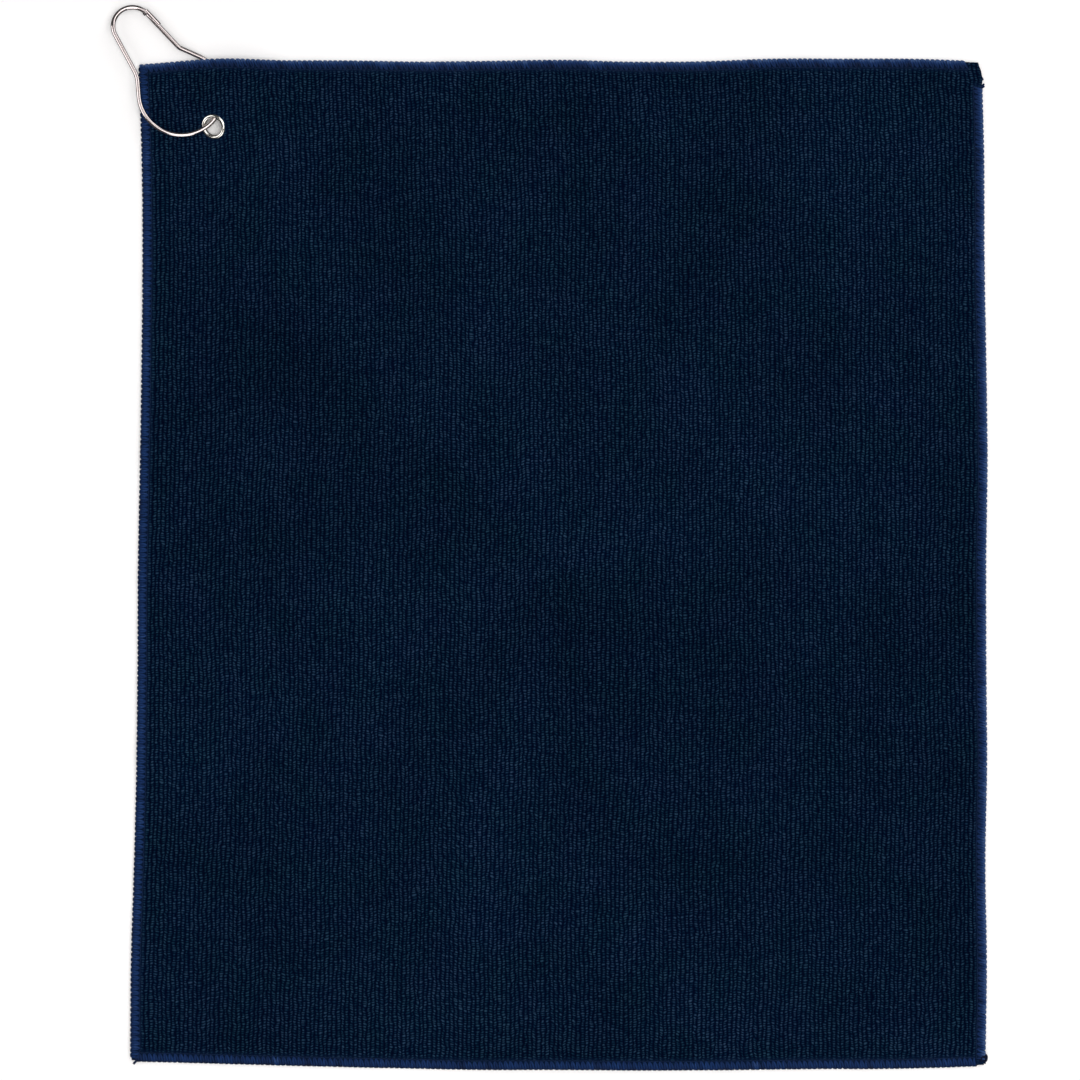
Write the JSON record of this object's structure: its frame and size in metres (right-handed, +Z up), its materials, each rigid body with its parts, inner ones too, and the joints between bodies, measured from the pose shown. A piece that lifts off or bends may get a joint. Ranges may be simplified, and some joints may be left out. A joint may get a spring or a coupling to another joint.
{
  "type": "golf towel",
  "caption": "Ribbed microfibre golf towel with overlocked edges, a metal grommet in one corner and a pear-shaped spring-wire clip through it.",
  "frame": {"origin": "middle of the cloth's underside, with the towel lying face up on a table", "axes": "+Z up out of the towel's face; +Y along its long side, towards the edge by the clip; +X to the right, so that the clip is at the -X +Y corner"},
  "size_m": [0.3947, 0.4827, 0.0071],
  "materials": {
    "cloth": "matte ribbed microfibre",
    "overlock_thread": "satin polyester thread",
    "needle_thread": "satin polyester thread",
    "grommet_metal": "nickel plated",
    "clip_metal": "nickel plated spring wire"
  },
  "bodies": {
    "towel": {"towel_cloth": "cloth", "overlock_front_top": "overlock_thread", "overlock_back_top": "overlock_thread", "needle_seam_top": "needle_thread", "overlock_front_bottom": "overlock_thread", "overlock_back_bottom": "overlock_thread", "needle_seam_bottom": "needle_thread", "overlock_front_left": "overlock_thread", "overlock_back_left": "overlock_thread", "needle_seam_left": "needle_thread", "overlock_front_right": "overlock_thread", "overlock_back_right": "overlock_thread", "needle_seam_right": "needle_thread", "thread_tail_top_right": "overlock_thread", "thread_tail_bottom_right": "overlock_thread", "thread_tail_bottom_left": "overlock_thread", "grommet_eyelet": "grommet_metal", "grommet_washer": "grommet_metal"},
    "clip": {"clip_frame_wire": "clip_metal"},
    "gate": {"clip_gate_wire": "clip_metal"}
  },
  "joints": [
    {"name": "clip_turn", "type": "hinge", "parent": "towel", "child": "clip", "pos_m": [-0.17126, 0.21383, 0.00357], "axis": [0.0963, 0.0907, 0.9912], "range_deg": [0, 105]},
    {"name": "gate_flex", "type": "hinge", "parent": "clip", "child": "gate", "pos_m": [-0.17376, 0.23639, 0.00175], "axis": [0.0963, 0.0907, 0.9912], "range_deg": [0, 15], "stiffness_Nm_per_rad": 0.3}
  ]
}
